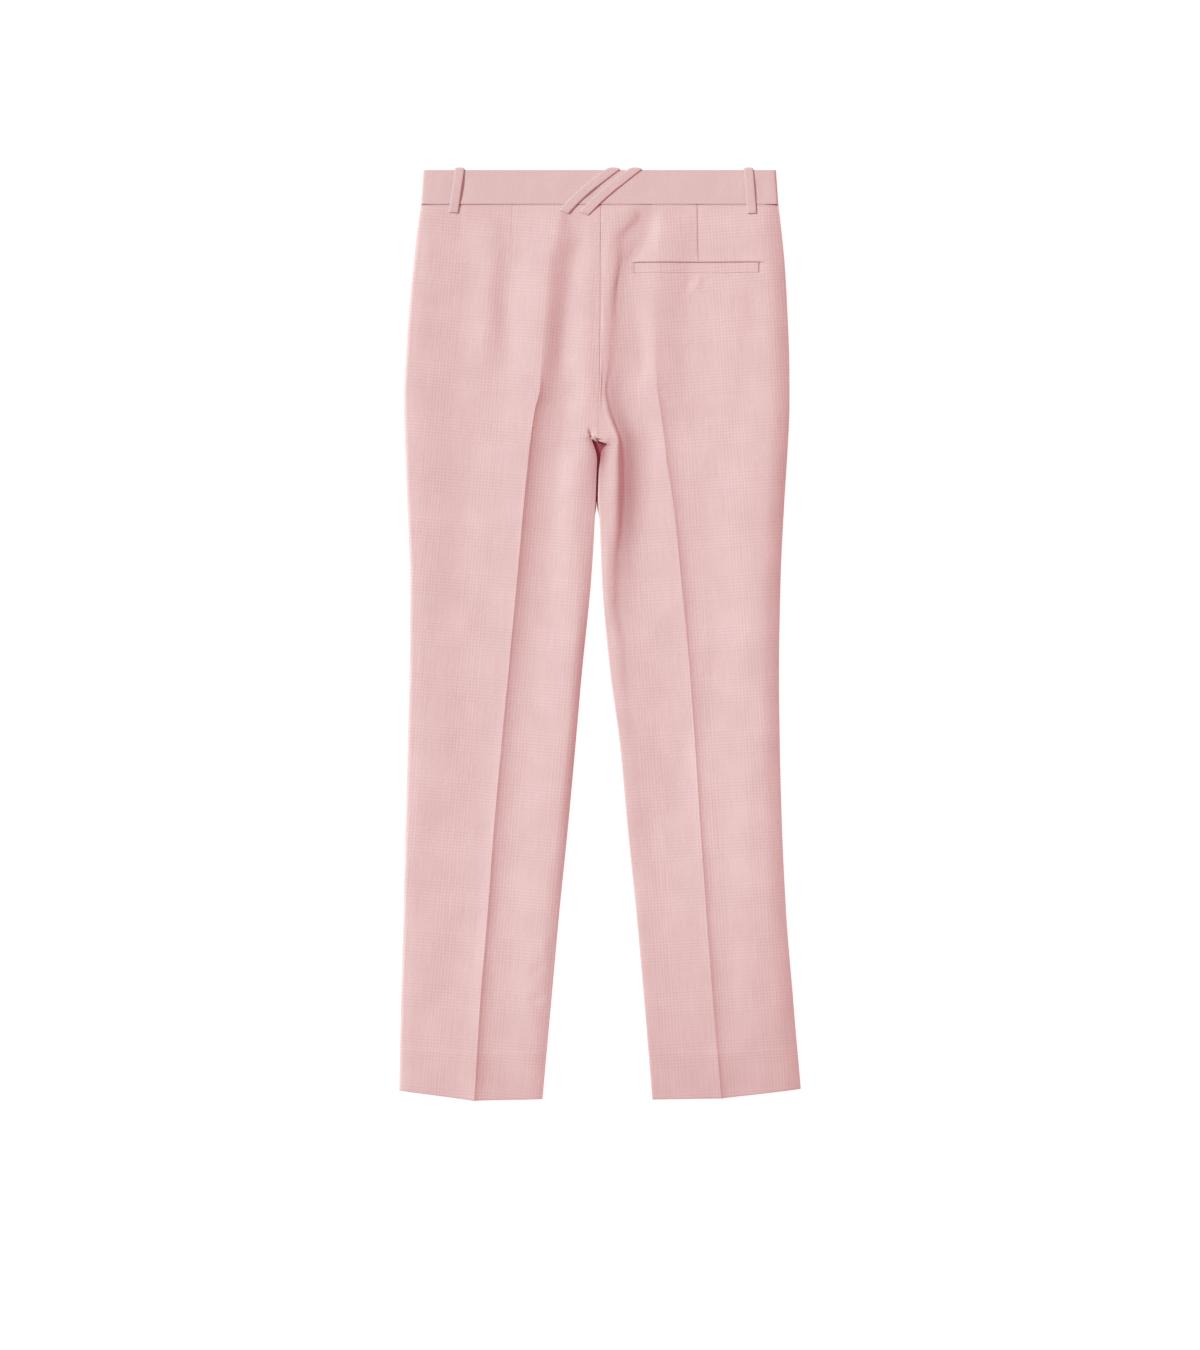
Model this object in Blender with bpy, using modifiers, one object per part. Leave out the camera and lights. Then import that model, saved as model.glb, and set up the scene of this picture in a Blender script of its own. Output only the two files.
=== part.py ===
"""Skinny trousers, laid flat on their front with the back showing.

Sizes are in millimetres. x runs across the garment from its centre line, and down runs along it from the top edge of
the waistband. The surface that it lies on is z = 0, and the origin is the middle of the garment on that surface.
"""

import bpy
import numpy as np

MM = 0.001

# Driving sizes
OUTSEAM = 1041.0  # top of the waistband to the hem
LOOP_OVERHANG = 3.4  # how far the belt loops reach past the top of the waistband
BAND_DEPTH = 38.6
BAND_LEAN = 2.6  # the waistband narrows this much at each side, towards its top
CLOTH = 1.2  # wall of a leg panel
BAND_CLOTH = 1.4  # the waistband is two layers, pressed
SEAM_GAP = 0.3
LAID_GAP = 0.4  # between a panel and what is sewn down on it

# Heights over the surface, and the shape of an edge: upright at the seam, then a tight bend, then a slow swell
SEAM_HEIGHT = 2.4
TIP = 0.65
BEND = 1.6
BEND_HEIGHT = 4.7
LOFT = 4.8  # the back's outer face, away from its folds
BAND_BEND = 1.8
BAND_BEND_HEIGHT = 4.9
BAND_LOFT = 5.6
BAND_SWELL = 12.0


def table(columns, *rows):
    """A short table, as one array for each named column."""
    return dict(zip(columns.split(), np.array(rows, dtype=float).T))


# The outline of the back, as seen from above: the side seams and the pressed creases
OUTLINE = table(
    "down left_side left_crease right_crease right_side",
    (39, -201, -39, 61, 199),  # waist seam
    (100, -208, -58, 61, 206),  # high hip
    (179, -215, -64, 63, 210.5),  # seat
    (257, -219, -71, 69, 213),  # hip
    (307, -217, -78, 78, 211),  # crotch
    (369, -215.5, -85, 85, 206.5),  # upper thigh
    (465, -212, -94, 93, 202),  # thigh
    (564, -213, -104, 103, 200),  # above the knee
    (638, -214.5, -110.5, 108, 201),  # knee
    (736, -217, -119, 114, 204),  # calf
    (835, -219, -126, 122, 209),  # lower calf
    (934, -222, -134, 128, 217),  # ankle
    (OUTSEAM, -224.6, -140.5, 136, 224.6),  # hem
)

# The centre-back seam, down to the crotch
CENTRE_BACK = table("down x", (39, 0.5), (235, -1), (290, -3))

# The inner edge of each back leg below it: the rolled edge under the seat, and the inside seam. Just under the seat it
# lies on the front, and lower down it meets the front's turned-up edge.
INSIDE = table(
    "down left right rim",
    (290, -3, -3, 1.7),
    (301, -12.5, -3, 1.7),
    (310, -12.3, 8.5, 1.7),
    (324, -10.5, 4.5, 1.7),
    (350, -7.5, -1.5, 1.7),
    (369, -5, -3.9, 2.75),
    (391, -5.2, -1.7, 2.75),
    (415, -7.3, -0.6, 2.75),
    (465, -11, 1.7, 2.55),
    (564, -21, 10.6, 2.55),
    (638, -27.5, 20.7, 2.55),
    (736, -36.5, 30, 2.55),
    (835, -46.5, 40, 2.55),
    (934, -55.5, 49, 2.55),
    (OUTSEAM, -65, 57.7, 2.55),
)
SEAT_TURNS = (286, 301)  # between these levels the back's inner edge turns down

# The front lies underneath. It is joined along a straight centre-front seam, and then runs to the inside seams.
CENTRE_FRONT = table("down x", (39, -3), (369, -4.25))
FRONT_PARTS = (369, 391)
FRONT_TURNS = (375, 415)  # between these levels the front's inner edge turns up

# The hem dips at each crease
HEM = table("x down", (-224.6, 1030), (-141, 1041), (-65, 1039.5), (57.7, 1040), (136, 1038.5), (224.6, 1028))
HEM_BLEND = (940, OUTSEAM)

# The pressed creases stand up, soft on their left and steep on their right. Over the seat the left one is a soft fold.
CREASES = {
    "left": table(
        "down rise left right",
        (39, 0.2, 26, 12),
        (100, 3.0, 26, 13),
        (205, 4.0, 26, 13),
        (257, 3.4, 34, 12),
        (369, 2.6, 45, 10),
        (638, 2.2, 45, 9),
        (OUTSEAM, 2.2, 40, 9),
    ),
    "right": table(
        "down rise left right",
        (39, 0.0, 30, 12),
        (235, 0.2, 30, 12),
        (369, 1.6, 35, 10),
        (638, 1.8, 35, 9),
        (OUTSEAM, 1.8, 35, 9),
    ),
}

# The long fold that runs from the waist, over the centre-back seam, to the inside of the right thigh
THIGH_FOLD = table(
    "down x rise left right",
    (39, 34, 0.2, 26, 12),
    (78, 17, 2.6, 26, 12),
    (135, 2, 3.2, 28, 12),
    (170, 6, 3.2, 28, 12),
    (212, -2, 3.4, 28, 13),
    (244, -4, 3.6, 26, 13),
    (278, 7, 4.6, 20, 12),
    (303, 16, 6.4, 13, 12),
    (338, 18, 6.8, 12, 12),
    (390, 15, 6.2, 12, 13),
    (443, 12, 3.6, 12, 14),
    (500, 8, 0.8, 14, 16),
    (600, 12, 0.0, 14, 16),
)

# The cloth swells beside each seam, where its turnings lie: how far in, how much, and how wide on the inner side
SWELLS = {
    ("left", "side"): (15, 1.2, 22),
    ("left", "inside"): (16, 1.8, 34),
    ("right", "inside"): (12, 1.2, 26),
    ("right", "side"): (27, 1.8, 40),
}

# Rows of the panels' grids, as (end of a stretch, its number of steps), and columns each side of the crease
BACK_ROWS = ((285, 13), (312, 4), (400, 6), (1010, 20), (OUTSEAM, 1))
FRONT_ROWS = ((369, 6), (391, 3), (420, 3), (1010, 9), (OUTSEAM, 1))
SIDE_COLUMNS = 5
INSIDE_COLUMNS = 7

# Belt loops: the middle of the top and of the bottom of each
LOOP_WIDTH = 10.4
LOOP_CLOTH = 1.3
LOOP_ARCH = 1.2  # how far a loop stands clear of the waistband
LOOPS = (
    # name, top x, bottom x, bottom down
    ("left_belt_loop", -157.4, -164.5, 48.2),
    ("centre_left_belt_loop", 15.5, -40.8, 47.6),
    ("centre_right_belt_loop", 40.9, -17.7, 49.3),
    ("right_belt_loop", 165.5, 169.3, 49.3),
)

# The welt of the back pocket
WELT_X = (37.0, 177.0)
WELT_DOWN = (103.6, 115.4)
WELT_CLOTH = 1.0

MIDDLE = (OUTSEAM - LOOP_OVERHANG) / 2

PINK = (0.784, 0.520, 0.514)
BAND_PINK = (0.745, 0.497, 0.485)
CLOTH_ROUGHNESS = 0.85


def line(rows, column, down):
    """A smooth line through one column of a table, by level.

    Between two rows it is a cubic. Its slope at a row is the harmonic mean of the slopes beside it, or level where
    they go opposite ways, so that the line never swings past a row's value.
    """
    at, values = rows["down"], rows[column]
    rise = np.diff(values) / np.diff(at)
    product, total = rise[:-1] * rise[1:], rise[:-1] + rise[1:]
    mean = np.where(product > 0, 2 * product / np.where(product > 0, total, 1), 0)
    slope = np.concatenate((rise[:1], mean, rise[-1:]))
    i = np.clip(np.searchsorted(at, down) - 1, 0, len(at) - 2)
    span = at[i + 1] - at[i]
    s = np.clip((down - at[i]) / span, 0, 1)
    level = values[i] + (3 * s**2 - 2 * s**3) * (values[i + 1] - values[i])
    return level + span * (slope[i] * (s**3 - 2 * s**2 + s) + slope[i + 1] * (s**3 - s**2))


def ease(ends, down):
    """From 0 at the first level to 1 at the last, level at both."""
    s = np.clip((down - ends[0]) / (ends[1] - ends[0]), 0, 1)
    return 3 * s**2 - 2 * s**3


def ridge(off, left, right, sharpness):
    """A ridge of height 1 across a fold: off is the distance from its top line, positive to the right."""
    width = np.where(off < 0, left, right)
    return np.exp(-((np.abs(off) / width) ** sharpness))


def back_folds(x, down):
    """Height of the back's outer face with its creases and its long fold, as if it had no edges."""
    height = LOFT + 0 * x * down
    for side, rows in CREASES.items():
        off = x - line(OUTLINE, f"{side}_crease", down)
        height += line(rows, "rise", down) * ridge(off, line(rows, "left", down), line(rows, "right", down), 1.25)
    off = x - line(THIGH_FOLD, "x", down)
    soft = ridge(off, line(THIGH_FOLD, "left", down), line(THIGH_FOLD, "right", down), 2)
    return height + line(THIGH_FOLD, "rise", down) * soft


def inside_edge(side, down):
    """The inner edge of a back leg: the centre-back seam, and below it the edge of the seat and the inside seam."""
    start = CENTRE_BACK["down"][-1]
    edge = np.where(down < start, line(CENTRE_BACK, "x", down), line(INSIDE, side, down))
    return edge + SEAM_GAP / 2 * (-1 if side == "left" else 1)


def edge_height(height, inset, rim, bend, bend_height, swell):
    """Height near a turned-down edge, by the distance in from its upright tip.

    It is a quarter ellipse over the bend, and then a quarter of a sine wave up to the swell's top line.
    """
    bent = np.sqrt(1 - (1 - np.clip(inset / bend, 0, 1)) ** 2)
    swollen = np.sin(np.pi / 2 * np.clip((inset - bend) / (swell - bend), 0, 1))
    return np.where(
        inset < bend,
        rim + TIP + (bend_height - rim - TIP) * bent,
        bend_height + (height - bend_height) * swollen,
    )


def back_height(side, x, down):
    """Height of a back leg's outer face, with both of its edges turned down."""
    inward = 1 if side == "left" else -1
    turned = ease(SEAT_TURNS, down)
    tip_line = inside_edge(side, down) - inward * TIP * np.cos(turned * np.pi / 2)
    height = back_folds(x, down)
    for name, inset, rim, share in (
        ("side", inward * (x - line(OUTLINE, f"{side}_side", down)), SEAM_HEIGHT + SEAM_GAP / 2, 1),
        ("inside", inward * (tip_line - x), line(INSIDE, "rim", down), turned),
    ):
        swell, rise, width = SWELLS[side, name]
        swollen = height + rise * ridge(inset - swell, np.inf, width, 2)
        edged = edge_height(swollen, inset, rim, BEND, BEND_HEIGHT, swell)
        height += share * (edged - height)
    return height


def levels(first, stretches):
    """Levels down the garment, in even steps over each stretch, as one column."""
    down = [first]
    for end, steps in stretches:
        down.extend(np.linspace(down[-1], end, steps + 1)[1:])
    return np.array(down)[:, None]


def to_the_hem(x, down):
    """The levels of a panel's rows, bent to follow the hem as they come near it."""
    return down + (np.interp(x, HEM["x"], HEM["down"]) - OUTSEAM) * ease(HEM_BLEND, down)


def sheet(name, x, down, z, wall, colour, facing_up=True):
    """A sheet of cloth from the grid of its outer face, with its wall grown inwards and its own material."""
    points = np.stack(np.broadcast_arrays(x, MIDDLE - down, z), axis=-1) * MM
    corner = np.arange(points[..., 0].size).reshape(points.shape[:2])
    ring = (corner[:-1, :-1], corner[1:, :-1], corner[1:, 1:], corner[:-1, 1:])
    faces = np.stack(ring if facing_up else ring[::-1], axis=-1).reshape(-1, 4)
    mesh = bpy.data.meshes.new(name)
    mesh.from_pydata(points.reshape(-1, 3).tolist(), [], faces.tolist())
    mesh.shade_smooth()
    piece = bpy.data.objects.new(name, mesh)
    garment.objects.link(piece)
    solid = piece.modifiers.new("wall", "SOLIDIFY")
    solid.thickness = wall * MM
    solid.offset = -1
    solid.use_even_offset = True
    material = bpy.data.materials.new(f"{name} cloth")
    material.use_nodes = True
    shader = material.node_tree.nodes["Principled BSDF"]
    shader.inputs["Base Color"].default_value = (*colour, 1)
    shader.inputs["Roughness"].default_value = CLOTH_ROUGHNESS
    shader.inputs["Metallic"].default_value = 0
    mesh.materials.append(material)
    return piece


def turned_edge(bend, swell):
    """Distances in from the tip of a turned-down edge, for the columns over its bend and its swell."""
    return np.array((0, bend * (1 - np.cos(np.pi / 4)), bend, bend + 0.45 * (swell - bend), swell))


def back_leg(side):
    """One back leg: its outer face from the side seam, over the crease, to the inner edge."""
    down = levels(BAND_DEPTH + SEAM_GAP, BACK_ROWS)
    outer, crease = line(OUTLINE, f"{side}_side", down), line(OUTLINE, f"{side}_crease", down)
    inner = inside_edge(side, down)
    inward = 1 if side == "left" else -1
    turn = ease(SEAT_TURNS, down) * np.pi / 2
    from_side = outer + inward * turned_edge(BEND, SWELLS[side, "side"][0])
    from_inside = inner - inward * (TIP * np.cos(turn) + turned_edge(BEND, SWELLS[side, "inside"][0]))
    to_crease = np.arange(1, SIDE_COLUMNS + 1) / SIDE_COLUMNS
    from_crease = np.arange(1, INSIDE_COLUMNS) / INSIDE_COLUMNS
    x = np.hstack(
        (
            from_side,
            from_side[:, -1:] + to_crease * (crease - from_side[:, -1:]),
            crease + from_crease * (from_inside[:, -1:] - crease),
            from_inside[:, ::-1],
        )
    )
    z = back_height(side, x, down)
    side_rim = np.full_like(down, SEAM_HEIGHT + SEAM_GAP / 2)
    inside_rim = z[:, -1:] - TIP * np.sin(turn)
    x, z = np.hstack((outer, x, inner)), np.hstack((side_rim, z, inside_rim))
    if side == "right":
        x, z = x[:, ::-1], z[:, ::-1]
    return sheet(f"back_{side}_leg", x, to_the_hem(x, down), z, CLOTH, PINK)


def curl(turned):
    """The columns of an edge that turns up from the flat, as the distance in from the edge and the height of each."""
    arc = (SEAM_HEIGHT - SEAM_GAP / 2 - TIP) * np.pi / 2
    angle = np.maximum(turned, 1e-4) * np.pi / 2
    part = np.array((0, 0.5, 1))
    along = arc * np.sin(angle * part) / angle
    up = arc * (1 - np.cos(angle * part)) / angle
    along = np.hstack((along, along[:, -1:] + TIP * np.cos(angle)))
    up = np.hstack((up, up[:, -1:] + TIP * np.sin(angle)))
    return along[:, -1:] - along, up


def front_panel(name, side, down, outer, inner, turned, wall, colour):
    """A piece of the front: flat on the surface, turned up at its side seam, and as far as asked at its inner edge."""
    inward = 1 if side == "left" else -1
    outer_in, outer_up = curl(np.ones_like(down))
    inner_in, inner_up = curl(turned)
    x_outer, x_inner = outer + inward * outer_in[:, ::-1], inner - inward * inner_in
    middle = (x_outer[:, -1:] + x_inner[:, :1]) / 2
    x = np.hstack((x_outer, middle, x_inner))
    z = np.hstack((outer_up[:, ::-1], 0 * middle, inner_up))
    if side == "right":
        x, z = x[:, ::-1], z[:, ::-1]
    return sheet(name, x, to_the_hem(x, down), z, wall, colour, facing_up=False)


def centre_front_edge(side, down):
    """A front piece's edge at the centre front."""
    return line(CENTRE_FRONT, "x", down) + SEAM_GAP / 2 * (-1 if side == "left" else 1)


def front_leg(side):
    """One front leg, underneath its back leg."""
    down = levels(BAND_DEPTH + SEAM_GAP, FRONT_ROWS)
    centre = centre_front_edge(side, down)
    inner = centre + ease(FRONT_PARTS, down) * (inside_edge(side, down) - centre)
    outer = line(OUTLINE, f"{side}_side", down)
    return front_panel(f"front_{side}_leg", side, down, outer, inner, ease(FRONT_TURNS, down), CLOTH, PINK)


def band_side(side, down):
    """The waistband's end at the side seam."""
    lean = BAND_LEAN * (1 - down / BAND_DEPTH)
    return OUTLINE[f"{side}_side"][0] + (lean if side == "left" else -lean)


def back_waistband():
    """The back of the waistband, in one length from side seam to side seam."""
    down = levels(0, ((BAND_DEPTH, 2),))
    left, right = band_side("left", down), band_side("right", down)
    inset = turned_edge(BAND_BEND, BAND_SWELL)
    across = left + BAND_SWELL + np.arange(1, 10) / 10 * (right - left - 2 * BAND_SWELL)
    rim = SEAM_HEIGHT + SEAM_GAP / 2
    edge = edge_height(BAND_LOFT, inset, rim, BAND_BEND, BAND_BEND_HEIGHT, BAND_SWELL)
    x = np.hstack((left, left + inset, across, right - inset[::-1], right))
    z = np.concatenate(((rim,), edge, np.full(across.shape[1], BAND_LOFT), edge[::-1], (rim,)))
    return sheet("back_waistband", x, down, z, BAND_CLOTH, BAND_PINK)


def front_waistband(side):
    """Half of the front of the waistband, which meets the other half at the centre front."""
    down = levels(0, ((BAND_DEPTH, 1),))
    inner = centre_front_edge(side, down)
    name = f"front_{side}_waistband"
    return front_panel(name, side, down, band_side(side, down), inner, 0 * down, BAND_CLOTH, BAND_PINK)


def belt_loop(name, top_x, bottom_x, bottom_down):
    """A belt loop: turned over the top of the waistband, clear of its face, and sewn down just below its seam."""
    side = "left" if bottom_x < 0 else "right"
    foot = back_height(side, bottom_x, bottom_down) + LAID_GAP + LOOP_CLOTH
    crown = BAND_LOFT + LAID_GAP + LOOP_CLOTH + LOOP_ARCH
    path = table(
        "down height",
        (-LAID_GAP - LOOP_CLOTH, BAND_LOFT - 1.2),
        (-LOOP_OVERHANG + 0.3, BAND_LOFT - 0.3),
        (-LOOP_OVERHANG, BAND_LOFT + 0.9),
        (-LOOP_OVERHANG + 0.9, crown - 0.7),
        (-0.6, crown - 0.1),
        (4, crown),
        (BAND_DEPTH / 2, crown),
        (BAND_DEPTH - 3, crown),
        (BAND_DEPTH + 2, (crown + foot) / 2 + 0.4),
        (BAND_DEPTH + 5, foot + 0.1),
        (bottom_down, foot),
    )
    down, height = path["down"][:, None], path["height"][:, None]
    centre = top_x + np.clip(down / bottom_down, 0, 1) * (bottom_x - top_x)
    lean = (bottom_x - top_x) / bottom_down
    slant = np.hypot(1, lean)
    across = np.array((-0.5, 0, 0.5)) * LOOP_WIDTH
    square = ease((0, 12), down)  # the top is cut along the waistband, and the rest is square to the loop
    x = centre + across * (slant * (1 - square) + square / slant)
    return sheet(name, x, down - across * lean / slant * square, height, LOOP_CLOTH, BAND_PINK)


def pocket_welt():
    """The welt of the back right pocket: a narrow strip made from the panel's own points, moved out."""
    x = np.linspace(*WELT_X, 9)[None, :]
    down = np.array(WELT_DOWN)[:, None]
    z = back_height("right", x + 0 * down, down) + LAID_GAP + WELT_CLOTH
    return sheet("back_pocket_welt", x, down, z, WELT_CLOTH, PINK)


for old in list(bpy.data.objects):
    bpy.data.objects.remove(old)

garment = bpy.data.collections.new("skinny_trousers")
bpy.context.scene.collection.children.link(garment)

for leg in ("left", "right"):
    back_leg(leg)
    front_leg(leg)
    front_waistband(leg)
back_waistband()
for loop in LOOPS:
    belt_loop(*loop)
pocket_welt()
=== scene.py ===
import bpy
import numpy as np
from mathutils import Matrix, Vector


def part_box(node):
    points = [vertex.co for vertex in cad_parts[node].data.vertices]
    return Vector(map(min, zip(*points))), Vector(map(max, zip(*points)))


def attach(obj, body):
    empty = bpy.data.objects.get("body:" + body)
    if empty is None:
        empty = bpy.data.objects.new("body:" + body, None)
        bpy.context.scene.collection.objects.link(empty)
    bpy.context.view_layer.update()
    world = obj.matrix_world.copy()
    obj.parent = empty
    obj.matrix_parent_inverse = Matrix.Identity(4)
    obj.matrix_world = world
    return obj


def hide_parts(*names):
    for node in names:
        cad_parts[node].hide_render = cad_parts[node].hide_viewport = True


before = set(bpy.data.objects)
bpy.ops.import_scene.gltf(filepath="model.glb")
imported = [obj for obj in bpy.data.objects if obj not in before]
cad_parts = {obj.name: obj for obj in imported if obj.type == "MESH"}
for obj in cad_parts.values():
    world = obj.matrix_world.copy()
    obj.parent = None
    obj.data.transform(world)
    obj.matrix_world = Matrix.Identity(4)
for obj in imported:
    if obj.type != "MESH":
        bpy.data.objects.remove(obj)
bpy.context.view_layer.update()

# ---------------------------------------- the back legs
# Each back leg is one length of light suiting, pressed to a crease down its middle. As it lies, the
# cloth has sunk between its folds, and its seams roll over on to the front leg beneath. The centre-back
# seam joins the two.

MM = 0.001
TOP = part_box("back_waistband")[1][1] / MM  # the waistband's top: every level is measured down from it
OUTSEAM = TOP - min(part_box(f"back_{side}_leg")[0][1] for side in ("left", "right")) / MM
BAND_DEPTH = 38.6
SEAM_GAP = 0.12
CLOTH = 1.2  # wall of a leg panel
LIP = 0.65  # the upright end of a rolled edge, at its seam
SEAM_HEIGHT = 2.1  # of the side seams, over the surface


def table(columns, *rows):
    """A short table, as one array for each named column."""
    return dict(zip(columns.split(), np.array(rows, dtype=float).T))


# The outline from above, in millimetres: the side seams and the pressed creases
OUTLINE = table(
    "down left_side left_crease right_crease right_side",
    (39, -201.2, -43, 72, 199),  # waist seam
    (78, -206.6, -52, 68, 203.5),
    (106, -209.6, -58, 65, 206.2),  # high hip
    (162, -214.9, -62.5, 62, 209.3),
    (218, -218.5, -65.8, 62, 211.3),  # seat
    (246, -219.9, -67.6, 63.5, 211.5),
    (268, -220.1, -73, 67, 211.4),  # hip
    (307, -219, -78.8, 72.2, 209.7),  # crotch
    (324, -218.3, -80.6, 74, 208.7),
    (369, -216.6, -85, 80.8, 205.8),  # upper thigh
    (465, -213.2, -93.7, 91, 201.3),  # thigh
    (564, -214, -103.2, 100, 199.7),  # above the knee
    (638, -215.7, -110.2, 105.5, 200.5),  # knee
    (736, -218.4, -119, 111.8, 203.1),  # calf
    (835, -220.7, -126.4, 118.8, 207.9),  # lower calf
    (934, -223.4, -134.6, 126.2, 216),  # ankle
    (OUTSEAM, -225.4, -141, 135, 224),  # hem
)

# The inner edges: the centre-back seam, the edge of the seat, which hangs lower than its rows by a drop,
# and the inside seams. Each edge has the height of its top, and the depth of the crotch's painted shade
# on it. The rim is the height of the seam under them.
INSIDE = table(
    "down left left_drop left_top left_tuck right right_drop right_top right_tuck rim",
    (39, 0.5, 0, 5, 0, 0.5, 0, 5, 0, 1.7),
    (235, -1, 0, 7, 0, -1, 0, 7, 0, 1.7),
    (282, -3, 0, 7, 0.05, -3, 0, 7, 0, 1.7),
    (290, -3, 12, 6.6, 0.1, -3, 12, 6.6, 0.05, 1.7),
    (296, -7.2, 5, 6, 0.3, 3, 9.4, 5.8, 0.2, 1.7),
    (301, -10.2, 0, 5.4, 0.5, 7.3, 6.4, 5.2, 0.5, 1.7),
    (305, -8.9, 0, 5.2, 0.4, 3.8, 5.6, 4.6, 0.8, 1.7),
    (312, -6.3, 0, 5, 0.4, 1.2, 2.4, 4.6, 0.95, 1.7),
    (318, -4.5, 0, 4.8, 0.4, 0.2, 0, 5, 0.95, 1.7),
    (325, -3.8, 0, 4.6, 0.4, -0.5, 0, 5.6, 0.85, 1.8),
    (338, -4.3, 0, 4.4, 0.38, -2, 0, 6.8, 0.5, 2.2),
    (369, -5.4, 0, 4.1, 0.16, -2.9, 0, 7.8, 0.14, 2.75),
    (391, -6.4, 0, 3.8, 0.06, -1.2, 0, 7.4, 0.05, 2.75),
    (415, -7.6, 0, 3.6, 0.02, -0.4, 0, 6.6, 0.02, 2.75),
    (465, -11, 0, 3.4, 0, 1.7, 0, 5.8, 0, 2.55),
    (564, -21, 0, 3.2, 0, 10.6, 0, 4.4, 0, 2.55),
    (638, -27.5, 0, 3.2, 0, 20.7, 0, 4, 0, 2.55),
    (736, -36.5, 0, 3.2, 0, 30, 0, 3.8, 0, 2.55),
    (835, -46.5, 0, 3.2, 0, 40, 0, 3.7, 0, 2.55),
    (934, -55.5, 0, 3.2, 0, 49, 0, 3.6, 0, 2.55),
    (OUTSEAM, -65, 0, 3.2, 0, 57.7, 0, 3.5, 0, 2.55),
)
SEAT_TURNS = (283, 299)  # between these levels the inner edge turns down
DROP_REACH = (9.0, 4.0)  # how far across the seat's edge pulls its rows down, at its start and its end
DROP_LEVELS = (290, 301)  # between these levels that reach narrows
PAINTED_SHADE_REACH = {"left": 12.0, "right": 14.0}  # reach of the crotch's painted shade, in from each leg's edge
CENTRE = table(
    "down height",
    (39, 5.2), (78, 5.8), (106, 6.3), (134, 6.7), (162, 6.7), (190, 6.8), (218, 6.7), (246, 6.3),
    (268, 6.8), (285, 6.9), (296, 6.4), (302, 6),
)
CENTRE_ENDS = (285, 296)  # between these levels it gives way to each leg's own inner line

# Heights of the outer face along the lines that run down each leg, and where those lines lie. Names in
# _x are places across, and those in _in are distances in from the outline or the crease. lift and fall
# are the slopes just left and just right of the pressed crease, and shade is the depth of the painted
# shade on the cloth beside it.
LEFT_RELIEF = table(
    "down side dip_in dip dart_x dart lift crease fall foot_in foot inner_in inner shade",
    (39, 5, 45, 5, -99, 5.2, 0, 5.4, 0, 14, 5.2, 8, 5.2, 0),
    (52, 5.4, 46, 5, -99, 5.1, 0.02, 6.4, -0.03, 13, 5.1, 8, 5.3, 0),
    (78, 5.6, 46, 5.2, -99, 5.3, 0.03, 8.4, 0, 30, 5, 11, 5.6, 0),
    (106, 5.8, 48, 5.1, -101, 5, 0.04, 9.6, 0, 28, 5, 11, 6.2, 0),
    (134, 6, 50, 5, -103, 4.9, 0.04, 10.4, 0, 28, 4.8, 11, 6.7, 0),
    (162, 6.2, 53, 4.9, -105, 5.1, 0.03, 10.4, 0, 26, 4.5, 11, 6.7, 0),
    (190, 6.3, 56, 4.8, -107, 5.3, 0.03, 10.2, 0, 25, 4, 11, 6.8, 0),
    (218, 6.4, 60, 4.8, -109, 5.4, 0.03, 9.9, -0.15, 25, 3.7, 11, 6.9, 0),
    (246, 6.4, 64, 4.8, -112, 5.5, 0.03, 9.7, -0.45, 29, 3.6, 10, 6.9, 0.04),
    (268, 6.4, 66, 4.8, -114, 5.6, 0.03, 9.6, -0.52, 31, 3.6, 13, 6.8, 0),
    (285, 6.4, 68, 4.8, -115, 5.7, 0.03, 9.4, -0.52, 31, 3.4, 12, 6.6, 0),
    (296, 6.4, 68, 4.8, -116, 5.8, 0.03, 9.3, -0.52, 31, 3.3, 8, 6.2, 0),
    (304, 6.4, 68, 4.8, -116, 5.8, 0.03, 9.2, -0.52, 31, 3.2, 8, 6.2, 0),
    (314, 6.4, 67, 4.8, -118, 6, 0.03, 9.2, -0.52, 31, 3.1, 13, 6.6, 0),
    (335, 6.4, 66, 4.8, -120, 6.1, 0.04, 9.1, -0.52, 31, 3.1, 20, 6.8, 0),
    (391, 6.4, 62, 4.9, -125, 6.1, 0.05, 8.7, -0.5, 31, 3.1, 20, 6.8, 0),
    (459, 6.2, 56, 5, -128, 5.9, 0.05, 8.1, -0.44, 31, 3.2, 15.5, 7, 0),
    (537, 6, 60, 5.1, -130, 5.6, 0.1, 7.5, -0.38, 28, 3.7, 12.5, 7.3, 0),
    (638, 5.9, 62, 5.3, -133, 5.5, 0.13, 7.1, -0.36, 20, 4.2, 11.5, 7.4, 0),
    (739, 5.9, 66, 5.2, -137, 5.4, 0.14, 7, -0.38, 19, 4.3, 12.5, 7, 0),
    (839, 5.9, 68, 5.1, -140, 5.4, 0.12, 7, -0.42, 22, 4, 17, 6.6, 0),
    (940, 5.6, 56, 5.3, -152, 5.8, 0.08, 7.4, -0.44, 26, 3.9, 17, 5.8, 0),
    (1007, 5.2, 36, 5, -160, 5.8, 0.06, 7.4, -0.4, 28, 4.2, 15, 5.2, 0),
    (OUTSEAM, 4.9, 34, 4.8, -160, 5.5, 0.06, 7, -0.38, 28, 4.2, 13, 5, 0),
)
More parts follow.
